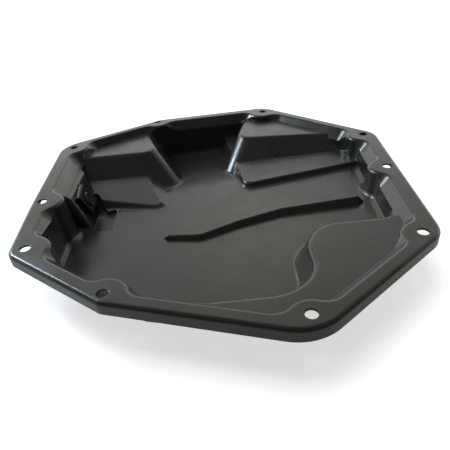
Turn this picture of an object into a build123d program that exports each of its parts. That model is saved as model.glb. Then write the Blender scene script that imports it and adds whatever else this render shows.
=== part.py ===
from build123d import *
from math import cos, sin, tan, radians
import os

# Engine oil pan: one sheet pressed into a shallow eight-sided tray with a flat
# bolting flange, a turned-down rim, stepped bumps, a baffle bead and a drain
# boss that carries a square weld nut and a hexagon drain plug.
# Frame: z = 0 is the gasket face, +Z points to the engine, +Y to the back,
# the origin lies at the middle of the flange.  All sizes in millimetres.

os.makedirs("parts", exist_ok=True)

# ---------------------------------------------------------------- sheet
SHEET = 1.2                  # thickness of the pressed sheet
RIM_DROP = 8.0               # height of the turned-down rim
RIM_BEND = 2.5               # outside bend between flange and rim
LIP_BEND = 3.0               # bend where the flange dips into the tray
LIP_STEP = 1.3               # walls stand back from the lip at the bolts
LIP_SOFT = 12.0              # plan radius of the lip between the bolts

# ---------------------------------------------------------------- flange
# Straight sides: direction the side faces (degrees) and its distance from the origin.
FRONT = (-108.3, 140.3)
FRONT_RIGHT = (-52.4, 153.9)
RIGHT = (-4.6, 138.5)
BACK_RIGHT = (41.9, 148.6)
BACK = (93.1, 154.5)
BACK_LEFT = (118.7, 158.7)
LEFT_BACK = (182.7, 139.2)
LEFT_FRONT = (184.5, 139.4)
FRONT_LEFT = (231.7, 140.1)
SIDES = [FRONT, FRONT_RIGHT, RIGHT, BACK_RIGHT, BACK, BACK_LEFT, LEFT_BACK, LEFT_FRONT, FRONT_LEFT]
CORNER_R = [30.0, 20.0, 18.0, 22.0, 26.0, 25.0, 60.0, 13.0, 7.0]
LEAST_R = 1.0                # least radius left at a flange corner drawn further in
LAND = [9.0, 8.7, 10.5, 9.0, 10.0, 8.5, 11.5, 11.5, 9.5]     # flat width inside each side

# ---------------------------------------------------------------- bolt holes
BOLT_D = 7.0                 # clearance for an M6 screw
BOLTS = [(41.1, -148.2), (119.5, -91.6), (130.3, -4.2), (132.7, 60.2), (54.5, 144.4)]
BOLTS += [(-55.5, 145.5), (-131.2, 96.0), (-130.9, -6.4), (-123.5, -67.7), (-65.1, -118.5)]
LOBES = [10.6, 11.4, 12.8, 12.8, 12.8, 12.8, 12.8, 14.2, 14.2, 12.8]     # flat round each hole

# ---------------------------------------------------------------- tray walls
WALL_FRONT = (FRONT[0], FRONT[1] - 16.0)
WALL_FRONT_RIGHT = (FRONT_RIGHT[0], FRONT_RIGHT[1] - 16.0)
WALL_RIGHT = (RIGHT[0], RIGHT[1] - 17.0)
WALL_BACK_RIGHT = (BACK_RIGHT[0], BACK_RIGHT[1] - 16.0)
WALL_BACK = (BACK[0], BACK[1] - 16.5)
WALL_BACK_LEFT = (BACK_LEFT[0], BACK_LEFT[1] - 16.0)
WALL_LEFT = (180.0, 121.0)
WALL_FRONT_LEFT = (FRONT_LEFT[0], FRONT_LEFT[1] - 16.0)
WALLS = [WALL_FRONT, WALL_FRONT_RIGHT, WALL_RIGHT, WALL_BACK_RIGHT]
WALLS += [WALL_BACK, WALL_BACK_LEFT, WALL_LEFT, WALL_FRONT_LEFT]
DRAFT = 5.0                  # lean of the drawn walls
SOFT = 12.0                  # plan radius of the tray corners
SCOOP_LEAN = 42.0            # lean of the sloping land between flange and walls
SCOOP_DEPTH = 9.0            # how far down that land can reach

# ---------------------------------------------------------------- floor
FLOOR_DEPTH = 27.9           # floor below the gasket face at the origin
FLOOR_FALL = 3.35            # floor runs down to the left by this angle
FOOT_R = 5.0                 # rounding between walls and floor
SUMP_START = 45.0            # y where the floor begins to fall to the back
SUMP_FALL = 5.0
OVERLAP = 5.0                # the parts of the floor run this far into each other
REACH = 200.0                # half size of the large helper blocks
BELOW = 60.0                 # helper solids reach this far below the flange

# ---------------------------------------------------------------- shelf
SHELF = 6.5                  # depth of the front strip and platform
SHELF_R = 4.0                # rounding of the platform's edge


def meet(side_a, side_b):
    """Point where two sides, each (direction, distance), cross."""
    ang_a, ang_b = radians(side_a[0]), radians(side_b[0])
    det = sin(ang_b - ang_a)
    x = (side_a[1] * sin(ang_b) - side_b[1] * sin(ang_a)) / det
    y = (side_b[1] * cos(ang_a) - side_a[1] * cos(ang_b)) / det
    return (x, y)


def corners(sides):
    """Corner points of a closed ring of sides."""
    return [meet(a, b) for a, b in zip(sides, sides[1:] + sides[:1])]


def moved_in(sides, amounts):
    """The same sides moved towards the middle."""
    return [(ang, dist - amount) for (ang, dist), amount in zip(sides, amounts)]


def flange_plan(inset=0.0):
    """Eight-sided flange outline with its own radius at each corner."""
    points = corners(moved_in(SIDES, [inset] * len(SIDES)))
    with BuildSketch() as plan:
        with BuildLine():
            Polyline(*points, close=True)
        make_face()
        for (x, y), radius in zip(points, CORNER_R):
            tip = plan.vertices().sort_by_distance(Vector(x, y, 0))[0]
            fillet(tip, max(radius - inset, LEAST_R))
    return plan.sketch


def soften(radius, grow):
    """Round every corner of the sketch being built, then let it out by grow."""
    offset(amount=-radius, mode=Mode.REPLACE)
    offset(amount=2 * radius, mode=Mode.REPLACE)
    offset(amount=grow - radius, mode=Mode.REPLACE)


def scalloped_plan(sides, lobe_grow, soft, grow):
    """Ring of sides, pinched inwards round every bolt."""
    with BuildSketch() as plan:
        with BuildLine():
            Polyline(*corners(sides), close=True)
        make_face()
        for spot, radius in zip(BOLTS, LOBES):
            with Locations(spot):
                Circle(radius + lobe_grow, mode=Mode.SUBTRACT)
        soften(soft, grow)
    return plan.sketch


# ---------------------------------------------------------------- platform
STRIP_Y = -128.5             # edge of the narrow front strip
STRIP_START = -60.0          # where the strip leaves the front wall
PLATFORM_X = 56.5            # left edge of the front-right platform
PLATFORM_BACK = -65.5        # back edge of the platform
SWEEP_R = 32.0               # large curve from the strip to the platform
PLATFORM_R = 22.0            # its back left corner
PLATFORM_LEAN = 24.0         # lean of its sides
JOIN_R = 12.0                # rounding where its back side meets the right wall

# ---------------------------------------------------------------- bumps
# Each face of a bump: a point on it, its lean from upright, the way it faces in plan.
LEFT_TOP = ((-80.0, 82.0, -6.0), 90.0, 0.0)
LEFT_FRONT = ((-80.0, 82.0, -6.0), 45.0, -91.0)
LEFT_FLANK = ((-55.0, 93.0, -6.0), 32.0, 14.0)
TIER_TOP = ((-70.0, 68.0, -22.0), 81.5, -92.0)
TIER_FRONT = ((-70.0, 26.5, -28.3), 32.0, -107.0)
TIER_FLANK = ((-57.0, 50.0, -24.5), 60.0, 6.0)
RIGHT_TOP = ((60.0, 88.5, -5.2), 90.0, 0.0)
RIGHT_FRONT = ((60.0, 88.5, -5.2), 51.0, -97.0)
RIGHT_FLANK = ((25.0, 100.0, -5.2), 24.0, 167.0)
PAD_TOP = ((60.0, 70.0, -19.7), 86.6, -168.0)
PAD_FRONT = ((60.0, 35.0, -20.3), 26.0, -85.5)
PAD_FLANK = ((24.0, 40.0, -21.5), 24.0, 186.0)
LEFT_FACES = (LEFT_TOP, LEFT_FRONT, LEFT_FLANK)
TIER_FACES = (TIER_TOP, TIER_FRONT, TIER_FLANK)
RIGHT_FACES = (RIGHT_TOP, RIGHT_FRONT, RIGHT_FLANK)
PAD_FACES = (PAD_TOP, PAD_FRONT, PAD_FLANK)
RIDGE_R = 16.0               # rounding of the upright corner of a bump
TIER_RIDGE_R = 9.0           # the same for the low tier and the pad
BUMP_CREST_R = 5.0           # rounding of the upper edges of a bump
BUMP_FOOT_R = 6.0            # rounding where a bump meets the floor
TIER_CREST_R = 2.0           # the same two for the tier and the pad
TIER_FOOT_R = 4.0


def slope(point, rise_x, rise_y):
    """Plane through a point that rises by these gradients, with its origin on the Z axis."""
    x, y, z = point
    level = z - rise_x * x - rise_y * y
    return Plane(origin=(0, 0, level), x_dir=(1, 0, rise_x), z_dir=(-rise_x, -rise_y, 1))


def facing(point, lean, turn, back=0.0):
    """Plane leaning back from upright and turned from +X; back moves it into the metal."""
    side, level = radians(turn), cos(radians(lean))
    normal = Vector(level * cos(side), level * sin(side), sin(radians(lean)))
    return Plane(origin=Vector(*point) - normal * back, x_dir=(-sin(side), cos(side), 0), z_dir=normal)


def crossing(planes):
    """Point where three planes meet."""
    a, b, c = [plane.z_dir for plane in planes]
    far_a, far_b, far_c = [plane.z_dir.dot(plane.origin) for plane in planes]
    return (b.cross(c) * far_a + c.cross(a) * far_b + a.cross(b) * far_c) / a.dot(b.cross(c))


def under(plane):
    """Everything below a plane."""
    with BuildPart(plane) as body:
        Box(2 * REACH, 2 * REACH, 2 * BELOW, align=(Align.CENTER, Align.CENTER, Align.MAX))
    return body.part


def beside(y, side):
    """Everything in front of (side = Align.MAX) or behind (Align.MIN) a line across the tray."""
    with BuildPart() as body:
        with Locations((0, y, 0)):
            Box(2 * REACH, 2 * REACH, 2 * REACH, align=(Align.CENTER, side, Align.CENTER))
    return body.part


def well(plan, depth, lean):
    """A plan sunk straight down from the gasket face with leaning walls."""
    with BuildPart() as body:
        with BuildSketch():
            add(plan)
        extrude(amount=-depth, taper=lean)
    return body.part


STEEP = 0.7                  # an edge that rises more than this share of its length is upright
RISING = 0.1                 # an edge that rises less than this share lies level


def platform_block(grow):
    """Metal under the front strip and platform, running out past the walls."""
    strip_end = PLATFORM_X - SWEEP_R
    with BuildPart() as body:
        with BuildSketch(Plane.XY.offset(-grow / sin(radians(PLATFORM_LEAN)))):
            with BuildLine():
                strip = Line((STRIP_START, STRIP_Y), (strip_end, STRIP_Y))
                sweep = TangentArc(strip @ 1, (PLATFORM_X, STRIP_Y + SWEEP_R), tangent=strip % 1)
                side = Line(sweep @ 1, (PLATFORM_X, PLATFORM_BACK - PLATFORM_R))
                turn = TangentArc(side @ 1, (PLATFORM_X + PLATFORM_R, PLATFORM_BACK), tangent=side % 1)
                back = Line(turn @ 1, (REACH, PLATFORM_BACK))
                Polyline(back @ 1, (REACH, -REACH), (STRIP_START, -REACH), strip @ 0)
            make_face()
        extrude(amount=-BELOW, taper=-PLATFORM_LEAN)
    return body.part


def deep(grow):
    """The deep part of the tray: the leaning walls less the platform."""
    with BuildPart() as body:
        add(well(scalloped_plan(WALLS, LIP_STEP, SOFT, grow), BELOW, DRAFT))
        add(platform_block(grow), mode=Mode.SUBTRACT)
        upright = body.edges().filter_by(lambda e: abs((e % 0.5).Z) > STEEP)
        join = upright.sort_by_distance((WALL_RIGHT[1], PLATFORM_BACK, -SHELF - SHELF_R))[0]
        fillet(join, JOIN_R + grow)
    return body.part


def land_under(grow):
    """Everything below the shelf outside the deep part, with its rounded edge."""
    with BuildPart() as body:
        with Locations((0, 0, -SHELF - grow)):
            Box(2 * REACH, 2 * REACH, BELOW / 2, align=(Align.CENTER, Align.CENTER, Align.MAX))
        add(deep(grow), mode=Mode.SUBTRACT)
        top = body.faces().sort_by(Axis.Z)[-1]
        fillet(top.inner_wires()[0].edges(), SHELF_R - grow)
    return body.part


def basin(grow, floor):
    """The deep part down to one floor plane, rounded at the foot of its walls."""
    with BuildPart() as body:
        add(deep(grow))
        add(under(floor), mode=Mode.SUBTRACT)
        fillet(body.faces().sort_by(Axis.Z)[0].edges(), FOOT_R + grow)
    return body.part


PARALLEL = 0.9999            # cosine within which two faces count as parallel
NEAR_TIP = 3                 # crest edges start within this many ridge radii of the tip
INNER = 0.9                  # an edge nearer than this share of REACH isn't the block's own rim


def bump(faces, grow, ridge_r, crest_r):
    """Metal below three faces - top, front, flank - with its corner and upper edges rounded."""
    planes = [facing(*face, grow) for face in faces]
    top, front, flank = planes
    tip = crossing(planes)
    with BuildPart() as body:
        add(under(top))
        add(under(front), mode=Mode.INTERSECT)
        add(under(flank), mode=Mode.INTERSECT)
        upright = body.edges().filter_by(lambda e: abs((e % 0.5).Z) > RISING)
        fillet(upright.sort_by_distance(tip)[0], ridge_r - grow)
        plateau = body.faces().filter_by(lambda f: f.normal_at().dot(top.z_dir) > PARALLEL)[0]
        rim = [e for e in plateau.edges() if e.distance_to(tip) < NEAR_TIP * ridge_r]
        fillet(rim, crest_r - grow)
    return body.part


def footed(block, floor, foot_r):
    """The same metal standing on a floor plane, rounded where they meet."""
    with BuildPart() as body:
        add(block)
        add(under(floor))
        level = body.edges().filter_by(lambda e: abs(floor.z_dir.dot(e @ 0.5 - floor.origin)) < 0.01)
        fillet(level.filter_by(lambda e: (e @ 0.5).length < INNER * REACH), foot_r)
    return body.part


# ---------------------------------------------------------------- trough and bead
TROUGH_RISE = 0.088          # extra fall of the front left floor, mm per mm along x
RAMP_TOP = (-108.5, -16.0)   # point on the upper edge of the ramp into it
RAMP_RISE = (0.129, 0.178)   # gradients of that ramp
BEAD_PATH = [(-38, -27.5), (-14, -33), (14, -23), (48, -15.5), (105, -16)]
BEAD_TURN = 14.0             # radius of the bends in the baffle bead
BEAD_HEIGHT = 5.2
BEAD_WIDTH = 11.0            # width of the bead where it leaves the floor
BEAD_LEAN = 36.0
BEAD_CREST_R = 1.8           # rounding of its crest
BEAD_ROOT = 4.0              # the bead is carried this far below the floor
BEAD_FULL = 90.0             # x where it stands at its full height
BEAD_FADE = 0.015            # it sinks to the left by this much, mm per mm


def trough(grow):
    """Front left part of the floor, one step deeper, with the ramp that leads into it."""
    fall = tan(radians(FLOOR_FALL))
    ramp_start = (*RAMP_TOP, -FLOOR_DEPTH + fall * RAMP_TOP[0] - grow)
    with BuildPart() as body:
        add(basin(grow, slope((0, 0, -FLOOR_DEPTH - grow), TROUGH_RISE, 0)))
        add(under(slope(ramp_start, *RAMP_RISE)), mode=Mode.SUBTRACT)
        add(beside(RAMP_TOP[1] + OVERLAP, Align.MIN), mode=Mode.SUBTRACT)
    return body.part


def bead(grow):
    """Baffle bead across the floor, sinking a little to the left."""
    fall = tan(radians(FLOOR_FALL))
    root = slope((0, 0, -FLOOR_DEPTH - BEAD_FADE * BEAD_FULL - BEAD_ROOT), fall + BEAD_FADE, 0)
    half = BEAD_WIDTH / 2 + BEAD_ROOT * tan(radians(BEAD_LEAN)) - grow / cos(radians(BEAD_LEAN))
    with BuildPart() as body:
        with BuildSketch(root):
            with BuildLine():
                FilletPolyline(*BEAD_PATH, radius=BEAD_TURN)
                offset(amount=half, side=Side.BOTH, mode=Mode.REPLACE)
            make_face()
        extrude(amount=BEAD_HEIGHT + BEAD_ROOT - grow, taper=BEAD_LEAN)
        fillet(body.faces().sort_by(Axis.Z)[-1].edges(), BEAD_CREST_R - grow)
    return body.part


# ---------------------------------------------------------------- drain
DRAIN_FOOT = (-105.4, 28.0, -34.0)           # point on the drain face at the floor
DRAIN_LEAN = 22.0            # drain face leans back from upright
DRAIN_SPOT = (-2.5, 15.0)    # middle of the drain hole on its face: along, up
DRAIN_BORE = 13.5            # hole through the sheet
BOSS_FRONT = (-105.0, 5.3, -34.0)            # foot corner of the front side of the boss
BOSS_FRONT_LEAN = 6.0
BOSS_BACK = (-108.7, 50.7, -25.0)            # foot corner of its back side
BOSS_BACK_LEAN = 5.0
BOSS_BACK_TURN = 35.0
NEAR_FRONT_EDGE = (-111, 7, -20)             # a point by the edge of the drain face and each side
NEAR_BACK_EDGE = (-113, 55, -15)
BOSS_R = 5.0                 # rounding of the boss edges
PIT = [(-110, 5), (-97, -3), (-88, -3), (-87, 29), (-95, 26), (-99.5, 33), (-106, 45), (-118, 45)]
PIT_DEPTH = 3.5              # pocket in the floor under the drain
PIT_LEAN = 8.0
PIT_R = 3.0
PIT_FOOT_R = 2.0             # rounding at the foot of its walls
PIT_RISE = 12.0              # its walls are carried this far above the floor


def drain_seat(height=0.0):
    """Plane on the drain face at the middle of the hole, lifted towards the inside."""
    face = facing(DRAIN_FOOT, DRAIN_LEAN, 0)
    middle = face.from_local_coords(Vector(*DRAIN_SPOT, height))
    return Plane(origin=middle, x_dir=face.x_dir, z_dir=face.z_dir)


def drain_boss(grow):
    """Metal behind the leaning drain face."""
    with BuildPart() as body:
        add(under(facing(DRAIN_FOOT, DRAIN_LEAN, 0, grow)))
        add(under(facing(BOSS_FRONT, BOSS_FRONT_LEAN, -90, grow)), mode=Mode.INTERSECT)
        add(under(facing(BOSS_BACK, BOSS_BACK_LEAN, BOSS_BACK_TURN, grow)), mode=Mode.INTERSECT)
        front = body.edges().sort_by_distance(NEAR_FRONT_EDGE)[0]
        back = body.edges().sort_by_distance(NEAR_BACK_EDGE)[0]
        fillet([front, back], BOSS_R - grow)
    return body.part


def drain_pit(grow):
    """Pocket in the floor round the foot of the boss, cut back into the steps beside it."""
    fall = tan(radians(FLOOR_FALL))
    spread = PIT_RISE * tan(radians(PIT_LEAN)) + grow / cos(radians(PIT_LEAN))
    top = slope((0, 0, -FLOOR_DEPTH + PIT_RISE), fall, 0)
    with BuildPart() as body:
        with BuildSketch(top):
            with BuildLine():
                Polyline(*PIT, close=True)
            make_face()
            fillet(vertices(), PIT_R)
            offset(amount=spread, mode=Mode.REPLACE)
        extrude(amount=-PIT_DEPTH - PIT_RISE - grow, taper=PIT_LEAN)
        fillet(body.faces().sort_by(Axis.Z)[0].edges(), PIT_FOOT_R + grow)
    return body.part


# ---------------------------------------------------------------- whole inside of the tray
MOUTH_MARGIN = 4.0           # the land's plate reaches this far past its lip
WALL_MARGIN = 1.0            # the shelf's walls end this far below its rounding


def mouth(grow):
    """Sloping land from the flange down to the walls, with its rounded lip."""
    spread = grow / cos(radians(SCOOP_LEAN))
    plan = scalloped_plan(moved_in(SIDES, LAND), 0, LIP_SOFT, spread)
    with BuildPart() as plate:
        with Locations((0, 0, -grow)):
            Box(2 * REACH, 2 * REACH, SCOOP_DEPTH, align=(Align.CENTER, Align.CENTER, Align.MAX))
        add(well(plan, SCOOP_DEPTH + grow, SCOOP_LEAN), mode=Mode.SUBTRACT)
        top = plate.faces().sort_by(Axis.Z)[-1]
        fillet(top.inner_wires()[0].edges(), LIP_BEND - grow)
    with BuildPart() as table:
        add(platform_block(grow))
        add(under(Plane.XY.offset(-SHELF - grow)), mode=Mode.INTERSECT)
    with BuildPart() as body:
        with BuildSketch():
            add(plan)
            offset(amount=MOUTH_MARGIN, mode=Mode.REPLACE)
        extrude(amount=-SCOOP_DEPTH - grow)
        add(plate.part, mode=Mode.SUBTRACT)
        add(table.part, mode=Mode.SUBTRACT)
    return body.part


def tray_form(grow):
    """Inside of the tray as a solid; grow = sheet thickness gives its outside."""
    fall = tan(radians(FLOOR_FALL))
    main_floor = slope((0, 0, -FLOOR_DEPTH - grow), fall, 0)
    back_floor = slope((0, SUMP_START, -FLOOR_DEPTH - grow), fall, -tan(radians(SUMP_FALL)))
    high = [bump(faces, grow, RIDGE_R, BUMP_CREST_R) for faces in (LEFT_FACES, RIGHT_FACES)]
    low = [bump(faces, grow, TIER_RIDGE_R, TIER_CREST_R) for faces in (TIER_FACES, PAD_FACES)]
    with BuildPart() as main:
        add(basin(grow, main_floor))
        for block in high:
            add(footed(block, main_floor, BUMP_FOOT_R + grow), mode=Mode.SUBTRACT)
        for block in low:
            add(footed(block, main_floor, TIER_FOOT_R + grow), mode=Mode.SUBTRACT)
    with BuildPart() as back:
        add(basin(grow, back_floor))
        for block in high:
            add(footed(block, back_floor, BUMP_FOOT_R + grow), mode=Mode.SUBTRACT)
        for block in low:
            add(block, mode=Mode.SUBTRACT)
        add(beside(SUMP_START - OVERLAP, Align.MAX), mode=Mode.SUBTRACT)
    with BuildPart() as shelf:
        add(well(scalloped_plan(WALLS, LIP_STEP, SOFT, grow), SHELF + SHELF_R + WALL_MARGIN, DRAFT))
        add(land_under(grow), mode=Mode.SUBTRACT)
        add(mouth(grow))
        for block in high:
            add(block, mode=Mode.SUBTRACT)
    with BuildPart() as boss:
        add(drain_boss(grow))
        add(mouth(grow), mode=Mode.SUBTRACT)
    with BuildPart() as form:
        add(main.part)
        add(back.part)
        add(trough(grow))
        add(shelf.part)
        add(bead(grow), mode=Mode.SUBTRACT)
        add(drain_pit(grow))
        add(boss.part, mode=Mode.SUBTRACT)
    return form.part


# ---------------------------------------------------------------- pressed pan
BOLT_CUT = 3 * SHEET         # a bolt hole's cutter, long enough to go through the sheet
DRAIN_CUT = 4 * SHEET        # the same for the drain hole

inside = tray_form(0)
outside = tray_form(SHEET)

with BuildPart() as rim_hollow:
    with BuildSketch(Plane.XY.offset(-SHEET)):
        add(flange_plan(SHEET))
    extrude(amount=-RIM_DROP)
    fillet(rim_hollow.faces().sort_by(Axis.Z)[-1].edges(), RIM_BEND - SHEET)

with BuildPart(drain_seat()) as drain_hole:
    Cylinder(DRAIN_BORE / 2, DRAIN_CUT)

with BuildPart() as pan_shell:
    with BuildSketch():
        add(flange_plan())
    extrude(amount=-RIM_DROP)
    fillet(pan_shell.faces().sort_by(Axis.Z)[-1].edges(), RIM_BEND)
    add(rim_hollow.part, mode=Mode.SUBTRACT)
    add(outside)
    add(inside, mode=Mode.SUBTRACT)
    with Locations(*[(x, y, -SHEET / 2) for x, y in BOLTS]):
        Cylinder(BOLT_D / 2, BOLT_CUT, mode=Mode.SUBTRACT)
    add(drain_hole.part, mode=Mode.SUBTRACT)

# ---------------------------------------------------------------- drain nut, plug and washer
NUT_SIDE = 20.5              # square weld nut on the inside of the drain face
NUT_THICK = 4.0
NUT_TURN = 8.0               # it sits turned on the face by this angle
NUT_CORNER = 1.5
NUT_BEVEL = 0.8
THREAD_D = 12.0              # M12 drain plug
THREAD_ROOM = 0.2            # the bore of the nut is this much wider
PLUG_TIP = 1.5               # the plug stands proud of the nut inside
TIP_BEVEL = 1.0
WASHER_D = 20.0
WASHER_THICK = 1.5
WASHER_EDGE = 0.3
COLLAR_D = 19.0              # round collar under the hexagon head
COLLAR_THICK = 2.0
HEAD_FLATS = 17.0            # hexagon head across flats
HEAD_HEIGHT = 8.0

with BuildPart() as drain_nut:
    with BuildSketch(drain_seat()):
        Rectangle(NUT_SIDE, NUT_SIDE, rotation=NUT_TURN)
        fillet(vertices(), NUT_CORNER)
    extrude(amount=NUT_THICK)
    nut_top = drain_nut.faces().sort_by_distance(drain_seat(NUT_THICK).origin)[0]
    chamfer(nut_top.edges(), NUT_BEVEL)
    with BuildSketch(drain_seat()):
        Circle((THREAD_D + THREAD_ROOM) / 2)
    extrude(amount=NUT_THICK, mode=Mode.SUBTRACT)
    mouth_edge = drain_nut.edges().filter_by(GeomType.CIRCLE).sort_by_distance(nut_top.center())[0]
    chamfer(mouth_edge, NUT_BEVEL)

with BuildPart() as drain_washer:
    with BuildSketch(drain_seat(-SHEET - WASHER_THICK)):
        Circle(WASHER_D / 2)
        Circle((THREAD_D + THREAD_ROOM) / 2, mode=Mode.SUBTRACT)
    extrude(amount=WASHER_THICK)
    rings = drain_washer.edges().filter_by(GeomType.CIRCLE)
    fillet(rings.filter_by(lambda e: e.radius > WASHER_D / 2 - WASHER_EDGE), WASHER_EDGE)

HEAD_SEAT = -SHEET - WASHER_THICK            # underside of the collar
with BuildPart() as drain_plug:
    with BuildSketch(drain_seat(HEAD_SEAT - COLLAR_THICK)):
        Circle(COLLAR_D / 2)
    extrude(amount=COLLAR_THICK)
    with BuildSketch(drain_seat(HEAD_SEAT - HEAD_HEIGHT)):
        RegularPolygon(HEAD_FLATS / 2, 6, major_radius=False)
    extrude(amount=HEAD_HEIGHT - COLLAR_THICK)
    with BuildSketch(drain_seat(HEAD_SEAT)):
        Circle(THREAD_D / 2)
    extrude(amount=PLUG_TIP + NUT_THICK - HEAD_SEAT)
    tip = drain_plug.faces().sort_by_distance(drain_seat(NUT_THICK + PLUG_TIP).origin)[0]
    chamfer(tip.edges(), TIP_BEVEL)

# ---------------------------------------------------------------- files
pan_shell.part.label = "pan_shell"
export_step(pan_shell.part, "parts/pan_shell.step")
drain_nut.part.label = "drain_nut"
export_step(drain_nut.part, "parts/drain_nut.step")
drain_washer.part.label = "drain_washer"
export_step(drain_washer.part, "parts/drain_washer.step")
drain_plug.part.label = "drain_plug"
export_step(drain_plug.part, "parts/drain_plug.step")
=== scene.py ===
import math
import bpy
from mathutils import Matrix, Vector


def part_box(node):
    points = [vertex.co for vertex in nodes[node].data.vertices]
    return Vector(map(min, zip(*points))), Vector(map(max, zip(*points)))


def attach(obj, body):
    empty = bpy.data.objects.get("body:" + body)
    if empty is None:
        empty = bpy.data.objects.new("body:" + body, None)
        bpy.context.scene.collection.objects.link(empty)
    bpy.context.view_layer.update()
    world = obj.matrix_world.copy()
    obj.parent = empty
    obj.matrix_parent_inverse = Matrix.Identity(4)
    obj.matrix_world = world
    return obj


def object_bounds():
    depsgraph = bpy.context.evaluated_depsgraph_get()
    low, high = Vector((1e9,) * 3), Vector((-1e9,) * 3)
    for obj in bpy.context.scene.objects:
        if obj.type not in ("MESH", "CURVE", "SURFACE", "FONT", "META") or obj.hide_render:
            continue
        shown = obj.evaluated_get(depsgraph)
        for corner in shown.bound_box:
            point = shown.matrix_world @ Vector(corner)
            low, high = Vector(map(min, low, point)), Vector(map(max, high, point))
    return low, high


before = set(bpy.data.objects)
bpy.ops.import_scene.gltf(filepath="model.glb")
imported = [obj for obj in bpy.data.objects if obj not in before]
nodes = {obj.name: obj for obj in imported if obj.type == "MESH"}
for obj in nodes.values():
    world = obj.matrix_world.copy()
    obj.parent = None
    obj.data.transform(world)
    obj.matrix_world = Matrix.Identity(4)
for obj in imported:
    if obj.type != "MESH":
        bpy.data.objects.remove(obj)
cad_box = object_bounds()

# %% [markdown]
# # A pressed-steel engine oil pan
# The pan arrives here as four solid pieces made to real size: the pressed
# sheet, a square weld nut, a drain plug and its sealing washer.  This lesson
# gives each of them a finish, and adds the small things that a press shop and
# a paint line leave behind.  Everything is in metres.  z = 0 is the face the
# gasket lies on, +Z points up out of the tray and +Y away from the camera.
#
# The pieces themselves are never moved or resized.  We only dress them.

# %% Pieces at hand
for name, piece in nodes.items():
    low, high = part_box(name)
    size = [round((b - a) * 1000, 1) for a, b in zip(low, high)]
    print(f"{name}: {size} mm, {len(piece.data.polygons)} faces")

# %% [markdown]
# ## The camera
# A product shot looks down into the tray at about a third of a right angle, so
# that the floor, the bumps and the flange all show.  A camera can be aimed
# with a tracking constraint, or placed by its own axes.  Here the three axes
# are worked out from the pitch and the small roll, which keeps the aim exact.

# %% Camera
CAMERA_PLACE = Vector((0.004, -0.297, 0.15245))
CAMERA_PITCH = math.radians(33.14)      # it looks down by this angle
CAMERA_ROLL = math.radians(-5.67)
CAMERA_LENS = 34.79                     # mm, on a sensor 36 mm wide

looking = Vector((0, math.cos(CAMERA_PITCH), -math.sin(CAMERA_PITCH)))
level_right = Vector((1, 0, 0))
level_up = level_right.cross(looking)
right = math.cos(CAMERA_ROLL) * level_right + math.sin(CAMERA_ROLL) * level_up
up = -math.sin(CAMERA_ROLL) * level_right + math.cos(CAMERA_ROLL) * level_up

camera_data = bpy.data.cameras.new("camera")
camera_data.lens = CAMERA_LENS
camera_data.sensor_width = 36
camera_data.clip_start = 0.01
camera = bpy.data.objects.new("camera", camera_data)
turned = Matrix((right, up, -looking)).transposed()
camera.matrix_world = Matrix.Translation(CAMERA_PLACE) @ turned.to_4x4()
bpy.context.collection.objects.link(camera)
bpy.context.scene.camera = camera
bpy.context.scene.view_settings.view_transform = "Standard"
print("camera", [round(v, 3) for v in camera.location])

# %% [markdown]
# ## A small toolbox for nodes
# Every finish below is made of the same few steps: add a shader node, set its
# constants, and link it.  A helper for each step keeps the recipes readable.
# The first one starts a finish, and the second sets a socket, whether to a
# plain number or to what another node puts out.

# %% A new finish
def new_finish(name):
    """An empty node material with its shader and output joined up."""
    finish = bpy.data.materials.new(name)
    finish.use_nodes = True
    tree = finish.node_tree
    tree.nodes.clear()
    output = tree.nodes.new("ShaderNodeOutputMaterial")
    shader = tree.nodes.new("ShaderNodeBsdfPrincipled")
    tree.links.new(shader.outputs["BSDF"], output.inputs["Surface"])
    return finish, tree, shader


def feed(tree, socket, value):
    """Sets a socket to a number, or links it to another node's output."""
    if isinstance(value, (int, float)):
        socket.default_value = value
    else:
        tree.links.new(value, socket)

# %% [markdown]
# ## From one value to another
# What a node puts out often runs over the wrong range, so one helper stretches
# it, and another does a step of arithmetic.  The floor and the room use them
# too.

# %% Values
def spread(tree, value, low, high, start=0.3, end=0.7, smooth=False):
    """Goes from low to high as value goes from start to end."""
    ramp = tree.nodes.new("ShaderNodeMapRange")
    if smooth:
        ramp.interpolation_type = "SMOOTHSTEP"
    feed(tree, ramp.inputs["Value"], value)
    feed(tree, ramp.inputs["From Min"], start)
    feed(tree, ramp.inputs["From Max"], end)
    feed(tree, ramp.inputs["To Min"], low)
    feed(tree, ramp.inputs["To Max"], high)
    return ramp.outputs["Result"]


def combine(tree, kind, a, b):
    """One step of arithmetic on two values."""
    node = tree.nodes.new("ShaderNodeMath")
    node.operation = kind
    feed(tree, node.inputs[0], a)
    feed(tree, node.inputs[1], b)
    return node.outputs[0]

# %% [markdown]
# ## Noise, colour and bump
# A real surface is never the same all over.  Noise says where it differs, a
# mix turns that into colour, and a bump node turns it into relief.  The noise
# is fixed to the object, and its sizes are in metres as everything here is.

# %% Noise, colour and bump
def place_noise(tree, size, detail=3.0, roughness=0.5):
    """Noise fixed to the object, with spots about size metres across."""
    where = tree.nodes.new("ShaderNodeTexCoord")
    noise = tree.nodes.new("ShaderNodeTexNoise")
    noise.inputs["Scale"].default_value = 1 / size
    noise.inputs["Detail"].default_value = detail
    noise.inputs["Roughness"].default_value = roughness
    tree.links.new(where.outputs["Object"], noise.inputs["Vector"])
    return noise.outputs["Fac"]


def blend_colours(tree, value, colour_a, colour_b):
    """Colour that goes from a to b as value goes from 0 to 1."""
    mix = tree.nodes.new("ShaderNodeMix")
    mix.data_type = "RGBA"
    mix.inputs["A"].default_value = (*colour_a, 1)
    mix.inputs["B"].default_value = (*colour_b, 1)
    tree.links.new(value, mix.inputs["Factor"])
    return mix.outputs["Result"]


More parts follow.
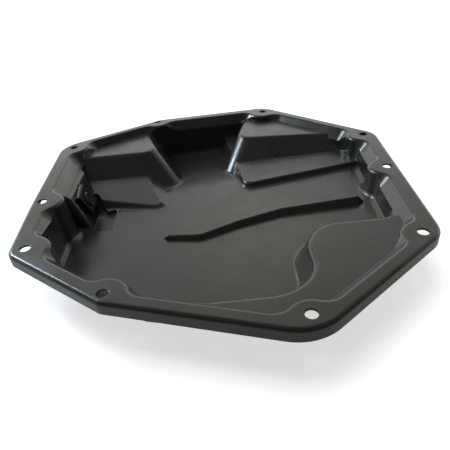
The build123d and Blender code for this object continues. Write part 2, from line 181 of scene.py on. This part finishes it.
def bump(tree, height, distance, strength, under=None):
    """Bump of the given depth in metres, on top of another bump if given."""
    node = tree.nodes.new("ShaderNodeBump")
    node.inputs["Distance"].default_value = distance
    node.inputs["Strength"].default_value = strength
    tree.links.new(height, node.inputs["Height"])
    if under is not None:
        tree.links.new(under, node.inputs["Normal"])
    return node.outputs["Normal"]

# %% [markdown]
# ## Edges that look drawn
# A press never leaves a sharp bend.  The solids have rounded bends, and a
# little more softness is added in the shading alone: a bevel node bends the
# normals near an edge.  Its radius is small in general and larger on the two
# tall bumps, where the sheet was stretched most.  Four limits say where those
# stand, and each lets the larger radius through on its own side only.

# %% Drawn edges
EDGE_SHARP = 0.0006      # rounding of an ordinary edge
EDGE_SOFT = 0.004        # rounding on the tall bumps
EDGE_SAMPLES = 12

# Axis, the place where the bumps begin to count, and where they count in full.
BUMP_LIMITS = [("Y", 0.02, 0.05), ("Z", -0.003, -0.0055),
               ("X", -0.1, -0.085), ("X", 0.075, 0.06)]


def drawn_edges(tree):
    """Normals rounded over the edges, more so on the tall bumps."""
    where = tree.nodes.new("ShaderNodeTexCoord")
    split = tree.nodes.new("ShaderNodeSeparateXYZ")
    tree.links.new(where.outputs["Object"], split.inputs["Vector"])
    radius = EDGE_SOFT
    for axis, begins, in_full in BUMP_LIMITS:
        radius = spread(tree, split.outputs[axis], EDGE_SHARP, radius, begins, in_full)
    rounding = tree.nodes.new("ShaderNodeBevel")
    rounding.samples = EDGE_SAMPLES
    tree.links.new(radius, rounding.inputs["Radius"])
    return rounding.outputs["Normal"]


print("edges rounded by", EDGE_SHARP, "m, on the bumps by", EDGE_SOFT, "m")

# %% [markdown]
# ## Black dip paint
# The whole pan is dipped in a thin black paint and baked.  It is satin, almost
# neutral with a slight olive cast, and so thin that the sheet's own waviness
# shows in the reflections.  One could paint an image for this; noise at four
# sizes does it without any image: slow changes in colour and in sheen where
# the bath ran off, broad waves from pressing, and a fine orange peel.

# %% Paint
PAINT_DARK = (0.0105, 0.0102, 0.0088)
PAINT_LIGHT = (0.0160, 0.0155, 0.0132)
PAINT_MIRROR = (1.0, 0.985, 0.85, 1)    # its reflections are slightly warm
PAINT_IOR = 1.52
BATH_SIZE = 0.06         # patches of colour
SHEEN_SIZE = 0.02        # patches of sheen
SHEEN_LESS = 0.04        # they vary the roughness down by this
SHEEN_MORE = 0.06        # and up by this
WAVE_SIZE = 0.045
WAVE_HIGH = 0.0006
WAVE_STRENGTH = 0.5
PEEL_SIZE = 0.0011
PEEL_HIGH = 0.00002
PEEL_STRENGTH = 0.35


def dip_paint(name, gloss=0.27, shine=0.5):
    """Satin black dip paint; gloss is its roughness, shine 0.5 its full reflection."""
    finish, tree, shader = new_finish(name)
    patches = spread(tree, place_noise(tree, BATH_SIZE, detail=4), 0, 1)
    colour = blend_colours(tree, patches, PAINT_DARK, PAINT_LIGHT)
    tree.links.new(colour, shader.inputs["Base Color"])
    runs = place_noise(tree, SHEEN_SIZE, detail=5)
    sheen = spread(tree, runs, gloss - SHEEN_LESS, gloss + SHEEN_MORE)
    tree.links.new(sheen, shader.inputs["Roughness"])
    waves = bump(tree, place_noise(tree, WAVE_SIZE, detail=1),
                 WAVE_HIGH, WAVE_STRENGTH, under=drawn_edges(tree))
    peel = bump(tree, place_noise(tree, PEEL_SIZE, detail=2),
                PEEL_HIGH, PEEL_STRENGTH, under=waves)
    tree.links.new(peel, shader.inputs["Normal"])
    shader.inputs["IOR"].default_value = PAINT_IOR
    shader.inputs["Specular IOR Level"].default_value = shine
    shader.inputs["Specular Tint"].default_value = PAINT_MIRROR
    return finish


pan_paint = dip_paint("pan_paint")
nut_paint = dip_paint("nut_paint", gloss=0.30, shine=0.2)
print("paint nodes:", len(pan_paint.node_tree.nodes))

# %% [markdown]
# ## Bare metal for the plug and its washer
# The plug is turned from steel and darkened by oil, and the washer is soft
# aluminium.  Both show fine tool marks.  Stretching noise along the circle
# would need its centre, so fine noise with low bump stands in for it.

# %% Metals
STEEL = (0.10, 0.10, 0.105)
ALUMINIUM = (0.78, 0.79, 0.8)
STAIN_SIZE = 0.004
STAIN_SHADE = 0.82       # a stain has this share of the metal's colour
WEAR_SIZE = 0.0012
WEAR_LESS = 0.06         # wear varies the roughness down by this
WEAR_MORE = 0.08         # and up by this
MARK_SIZE = 0.0003
MARK_HIGH = 0.00001
MARK_STRENGTH = 0.4


def turned_metal(name, colour, roughness):
    """Bare metal with fine tool marks and slight staining."""
    finish, tree, shader = new_finish(name)
    darker = tuple(STAIN_SHADE * c for c in colour)
    stains = spread(tree, place_noise(tree, STAIN_SIZE, detail=5), 0, 1)
    stained = blend_colours(tree, stains, colour, darker)
    tree.links.new(stained, shader.inputs["Base Color"])
    shader.inputs["Metallic"].default_value = 1.0
    wear = place_noise(tree, WEAR_SIZE, detail=4)
    uneven = spread(tree, wear, roughness - WEAR_LESS, roughness + WEAR_MORE)
    tree.links.new(uneven, shader.inputs["Roughness"])
    marks = bump(tree, place_noise(tree, MARK_SIZE, detail=2), MARK_HIGH, MARK_STRENGTH)
    tree.links.new(marks, shader.inputs["Normal"])
    return finish


plug_steel = turned_metal("plug_steel", STEEL, 0.24)
washer_metal = turned_metal("washer_metal", ALUMINIUM, 0.42)
print("metals:", plug_steel.name, washer_metal.name)

# %% [markdown]
# ## Dress the pieces
# Each solid came in with one named slot.  The finish goes into that slot, and
# the mesh itself is left alone.

# %% Dress the pieces
for name, finish in [("pan_shell", pan_paint), ("drain_nut", nut_paint),
                     ("drain_plug", plug_steel), ("drain_washer", washer_metal)]:
    piece = nodes[name]
    piece.data.materials[0] = finish
    print("dressed", name)

# %% [markdown]
# ## Where the drain sits
# The weld nut, the plug and the washer share one axis, which leans back with
# the drain face.  Its middle is where the plug crosses the sheet.  Small
# pieces are drawn flat round the Z axis first and then stood on this seat,
# which is much easier than working out every point in its leaning place.

# %% Drain seat
DRAIN_LEAN = math.radians(22)
DRAIN_MIDDLE = Vector((-0.11102, 0.0255, -0.02009))     # on the inside of the sheet
drain_out = Vector((math.cos(DRAIN_LEAN), 0, math.sin(DRAIN_LEAN)))
drain_along = Vector((0, 1, 0))
drain_up = drain_out.cross(drain_along)
seat = Matrix((drain_along, drain_up, drain_out)).transposed().to_4x4()
seat = Matrix.Translation(DRAIN_MIDDLE) @ seat
print("drain axis", [round(v, 3) for v in drain_out])


def ring_mesh(name, rings):
    """Mesh of closed rings of points on the seat, each joined to the next one."""
    count = len(rings[0])
    points = [seat @ Vector(point) for ring in rings for point in ring]
    faces = []
    for row in range(len(rings) - 1):
        for i in range(count):
            a, b = row * count + i, row * count + (i + 1) % count
            faces.append((a, b, b + count, a + count))
    mesh = bpy.data.meshes.new(name)
    mesh.from_pydata(points, [], faces)
    mesh.validate()
    for face in mesh.polygons:
        face.use_smooth = True
    piece = bpy.data.objects.new(name, mesh)
    bpy.context.collection.objects.link(piece)
    return piece

# %% [markdown]
# ## Thread on the end of the plug
# The plug screws through the nut and its last turn of thread stands free, then
# runs out on the chamfer.  A thread is a ridge with a triangular section that
# climbs round the shaft by one pitch a turn.  A screw modifier can make it; a
# loop that places the three points of the section at each step shows the
# geometry more plainly.

# %% Thread
PITCH = 0.0015
SHAFT = 0.006            # radius of the plug's shaft
RIDGE = 0.00035          # how far the thread stands out of it
HALF_RIDGE = PITCH / 4   # from the ridge's crest to its foot on each side
FEET_SUNK = (0.0001, 0.0004)    # how far each foot lies inside the shaft
THREAD_FROM = 0.0042     # height over the sheet where the free turn begins
CHAMFER_FROM = 0.0045    # above this the shaft narrows by as much as it rises
TURNS = 0.85
STEPS = 72
RUN_OUT = 8              # the ridge comes up and dies out over one part in this many


def thread_ridge():
    """The free turn of thread on the end of the plug."""
    rings = []
    for step in range(STEPS + 1):
        share = step / STEPS
        angle = 2 * math.pi * TURNS * share
        height = THREAD_FROM + PITCH * TURNS * share
        shaft = SHAFT - max(0.0, height - CHAMFER_FROM)
        stands = RIDGE * min(1.0, RUN_OUT * share, RUN_OUT * (1 - share))
        section = [(shaft - FEET_SUNK[0], -HALF_RIDGE), (shaft + stands, 0),
                   (shaft - FEET_SUNK[1], HALF_RIDGE)]
        rings.append([(r * math.cos(angle), r * math.sin(angle), height + h)
                      for r, h in section])
    return ring_mesh("plug_thread", rings)


thread = thread_ridge()
thread.data.materials.append(plug_steel)
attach(thread, "root")
print("thread faces", len(thread.data.polygons))

# %% [markdown]
# ## Welds at the corners of the nut
# A square weld nut has a small pip under each corner.  The welder melts them
# into the sheet and a little metal is squeezed out beside the corner, where
# the paint later covers it.  Each is a low dome with an uneven rim, made of
# rings whose radius and height follow a quarter circle.

# %% Weld beads
NUT_SIDE = 0.0205
NUT_TURN = math.radians(8)
WELDS = 4
WELD_INSET = 0.0009      # a bead's middle lies this far inside the nut's corner
WELD_WIDE = 0.0021       # radius of a squeezed-out bead
WELD_HIGH = 0.0011
WELD_SUNK = 0.0002       # its rim lies this far inside the sheet
WELD_TIP = 1e-5          # radius of the last ring, so that it isn't a point
WELD_BROAD = 0.12        # its rim is uneven by this share, three times round
WELD_FINE = 0.06         # and by this share, seven times round
WELD_RINGS = 6
WELD_POINTS = 20


def weld_bead(number):
    """A low uneven dome beside one corner of the nut."""
    corner = NUT_TURN + math.radians(45 + 90 * number)
    reach = NUT_SIDE / math.sqrt(2) - WELD_INSET
    middle = (reach * math.cos(corner), reach * math.sin(corner))
    rings = []
    for ring in range(WELD_RINGS + 1):
        tilt = math.pi / 2 * ring / WELD_RINGS
        height = WELD_HIGH * math.sin(tilt) - WELD_SUNK
        points = []
        for i in range(WELD_POINTS):
            angle = 2 * math.pi * i / WELD_POINTS
            broad = WELD_BROAD * math.sin(3 * angle + number)
            fine = WELD_FINE * math.sin(7 * angle + 2 * number)
            wide = WELD_WIDE * math.cos(tilt) * (1 + broad + fine) + WELD_TIP
            points.append((middle[0] + wide * math.cos(angle),
                           middle[1] + wide * math.sin(angle), height))
        rings.append(points)
    return ring_mesh(f"nut_weld_{number + 1}", rings)


for number in range(WELDS):
    bead = weld_bead(number)
    bead.data.materials.append(nut_paint)
    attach(bead, "root")
print("weld beads:", WELDS)

# %% [markdown]
# ## The floor
# The part lies on a plain pale floor that fills the view.  The camera sees it
# lighter than it is lit, which keeps the ground white but leaves the part's
# shadow on it.  The paint mirrors it without that lift, so the rim stays dark.

# %% Floor
FLOOR_REACH = 1.6        # from the middle to each side
FLOOR_GAP = 0.0005       # it lies this far below the part
FLOOR_COLOUR = (0.6, 0.6, 0.6, 1)
FLOOR_LIFT = 0.65        # extra brightness, for the camera alone


def make_floor(low):
    """A wide flat floor at the given height."""
    signs = [(-1, -1), (1, -1), (1, 1), (-1, 1)]
    corners = [(x * FLOOR_REACH, y * FLOOR_REACH, low) for x, y in signs]
    mesh = bpy.data.meshes.new("floor")
    mesh.from_pydata(corners, [], [(0, 1, 2, 3)])
    floor = bpy.data.objects.new("floor", mesh)
    bpy.context.collection.objects.link(floor)
    finish, tree, shader = new_finish("floor_white")
    shader.inputs["Base Color"].default_value = FLOOR_COLOUR
    shader.inputs["Roughness"].default_value = 0.9
    shader.inputs["Specular IOR Level"].default_value = 0.0
    ray = tree.nodes.new("ShaderNodeLightPath")
    lift = combine(tree, "MULTIPLY", ray.outputs["Is Camera Ray"], FLOOR_LIFT)
    shader.inputs["Emission Color"].default_value = (1, 1, 1, 1)
    tree.links.new(lift, shader.inputs["Emission Strength"])
    mesh.materials.append(finish)


floor_height = cad_box[0][2] - FLOOR_GAP
make_floor(floor_height)
print("floor at", round(floor_height, 4))

# %% [markdown]
# ## The room the paint mirrors
# Satin black paint shows the room more than its own colour.  A pale backdrop
# stands behind the part: a low band, and over it a part that is lightest in
# the middle and fades to both sides.  That is what the tray floor mirrors.
# Overhead and in front the room is dim, which leaves the upright faces dark
# and gives the pressing its shape.  The camera itself sees plain white, which
# neither paint nor metal mirrors.
#
# A direction's X, Y and Z say where in the room it points.  Each pair of
# numbers below is the stretch of one of them over which the light changes.

# %% World
LOW_LIGHT = 1.6          # brightness of the backdrop's pale band, low down
MIDDLE_LIGHT = 1.6       # brightness of its upper part, in the middle
SIDE_SHARE = 0.5         # share of it that is left at both sides
FOOT_SHARE = 0.35        # and at the foot of the upper part
ROOM_LIGHT = 0.06        # brightness of the dim room in front and above
BEHIND = (-0.15, 0.45)   # Y, from the room in front to the backdrop
TOP = (0.55, 0.9)        # Z, where the backdrop ends
BAND_TOP = (0.31, 0.43)  # Z, where the pale band ends
FOOT = (0.36, 0.54)      # Z, where the upper part comes up to its full light
LEFT = (-0.35, 0.0)      # X, from the left side to the middle
RIGHT = (0.0, 0.35)      # X, from the middle to the right side

world = bpy.data.worlds.new("studio")
bpy.context.scene.world = world
world.use_nodes = True
room = world.node_tree
room.nodes.clear()
direction = room.nodes.new("ShaderNodeTexCoord")
parts = room.nodes.new("ShaderNodeSeparateXYZ")
room.links.new(direction.outputs["Generated"], parts.inputs["Vector"])


def along(axis, stretch, low, high):
    """A smooth step of light from low to high over a stretch of one axis."""
    return spread(room, parts.outputs[axis], low, high, *stretch, smooth=True)


band = along("Z", BAND_TOP, LOW_LIGHT, 0.0)
upper = combine(room, "MULTIPLY", along("X", LEFT, SIDE_SHARE, 1.0),
                along("X", RIGHT, MIDDLE_LIGHT, SIDE_SHARE * MIDDLE_LIGHT))
upper = combine(room, "MULTIPLY", upper, along("Z", FOOT, FOOT_SHARE, 1.0))
backdrop = combine(room, "MAXIMUM", band, upper)
glow = combine(room, "MULTIPLY", along("Y", BEHIND, 0.0, 1.0), along("Z", TOP, 1.0, 0.0))
glow = combine(room, "MULTIPLY", glow, backdrop)
glow = combine(room, "ADD", glow, ROOM_LIGHT)
ray = room.nodes.new("ShaderNodeLightPath")
seen = combine(room, "MAXIMUM", glow, ray.outputs["Is Camera Ray"])
background = room.nodes.new("ShaderNodeBackground")
background.inputs["Color"].default_value = (1, 1, 1, 1)
room.links.new(seen, background.inputs["Strength"])
output = room.nodes.new("ShaderNodeOutputWorld")
room.links.new(background.outputs["Background"], output.inputs["Surface"])
print("room nodes:", len(room.nodes))

# %% [markdown]
# ## Two lamps
# A large soft lamp overhead lights the part, and nothing glossy mirrors it, so
# no bright square shows in the tray.  The light is uneven: a matt grey that
# lies flat comes out about a third lighter than it is written, and one that
# faces the camera about half as light.  A small cool lamp stands at the back
# left like a window, and the bent edges catch its image.

# %% Lamps
LAMP_AIM = Vector((0, 0, -0.02))


def soft_lamp(name, place, size, watts, mirrored, tint=(1, 1, 1)):
    """A soft square lamp aimed at the part; mirrored says if gloss shows its image."""
    data = bpy.data.lights.new(name, "AREA")
    data.size = size
    data.energy = watts
    data.color = tint
    lamp = bpy.data.objects.new(name, data)
    lamp.visible_glossy = mirrored
    lamp.location = place
    aim = LAMP_AIM - Vector(place)
    lamp.rotation_euler = aim.to_track_quat("-Z", "Y").to_euler()
    bpy.context.collection.objects.link(lamp)
    print(f"{name}: {watts} W")


soft_lamp("lamp_over", place=(-0.3, 0.1, 1.5), size=1.0, watts=20, mirrored=False)
soft_lamp("lamp_window", place=(-1.0, 0.75, 0.83), size=0.35, watts=14, mirrored=True,
          tint=(0.62, 0.79, 1.0))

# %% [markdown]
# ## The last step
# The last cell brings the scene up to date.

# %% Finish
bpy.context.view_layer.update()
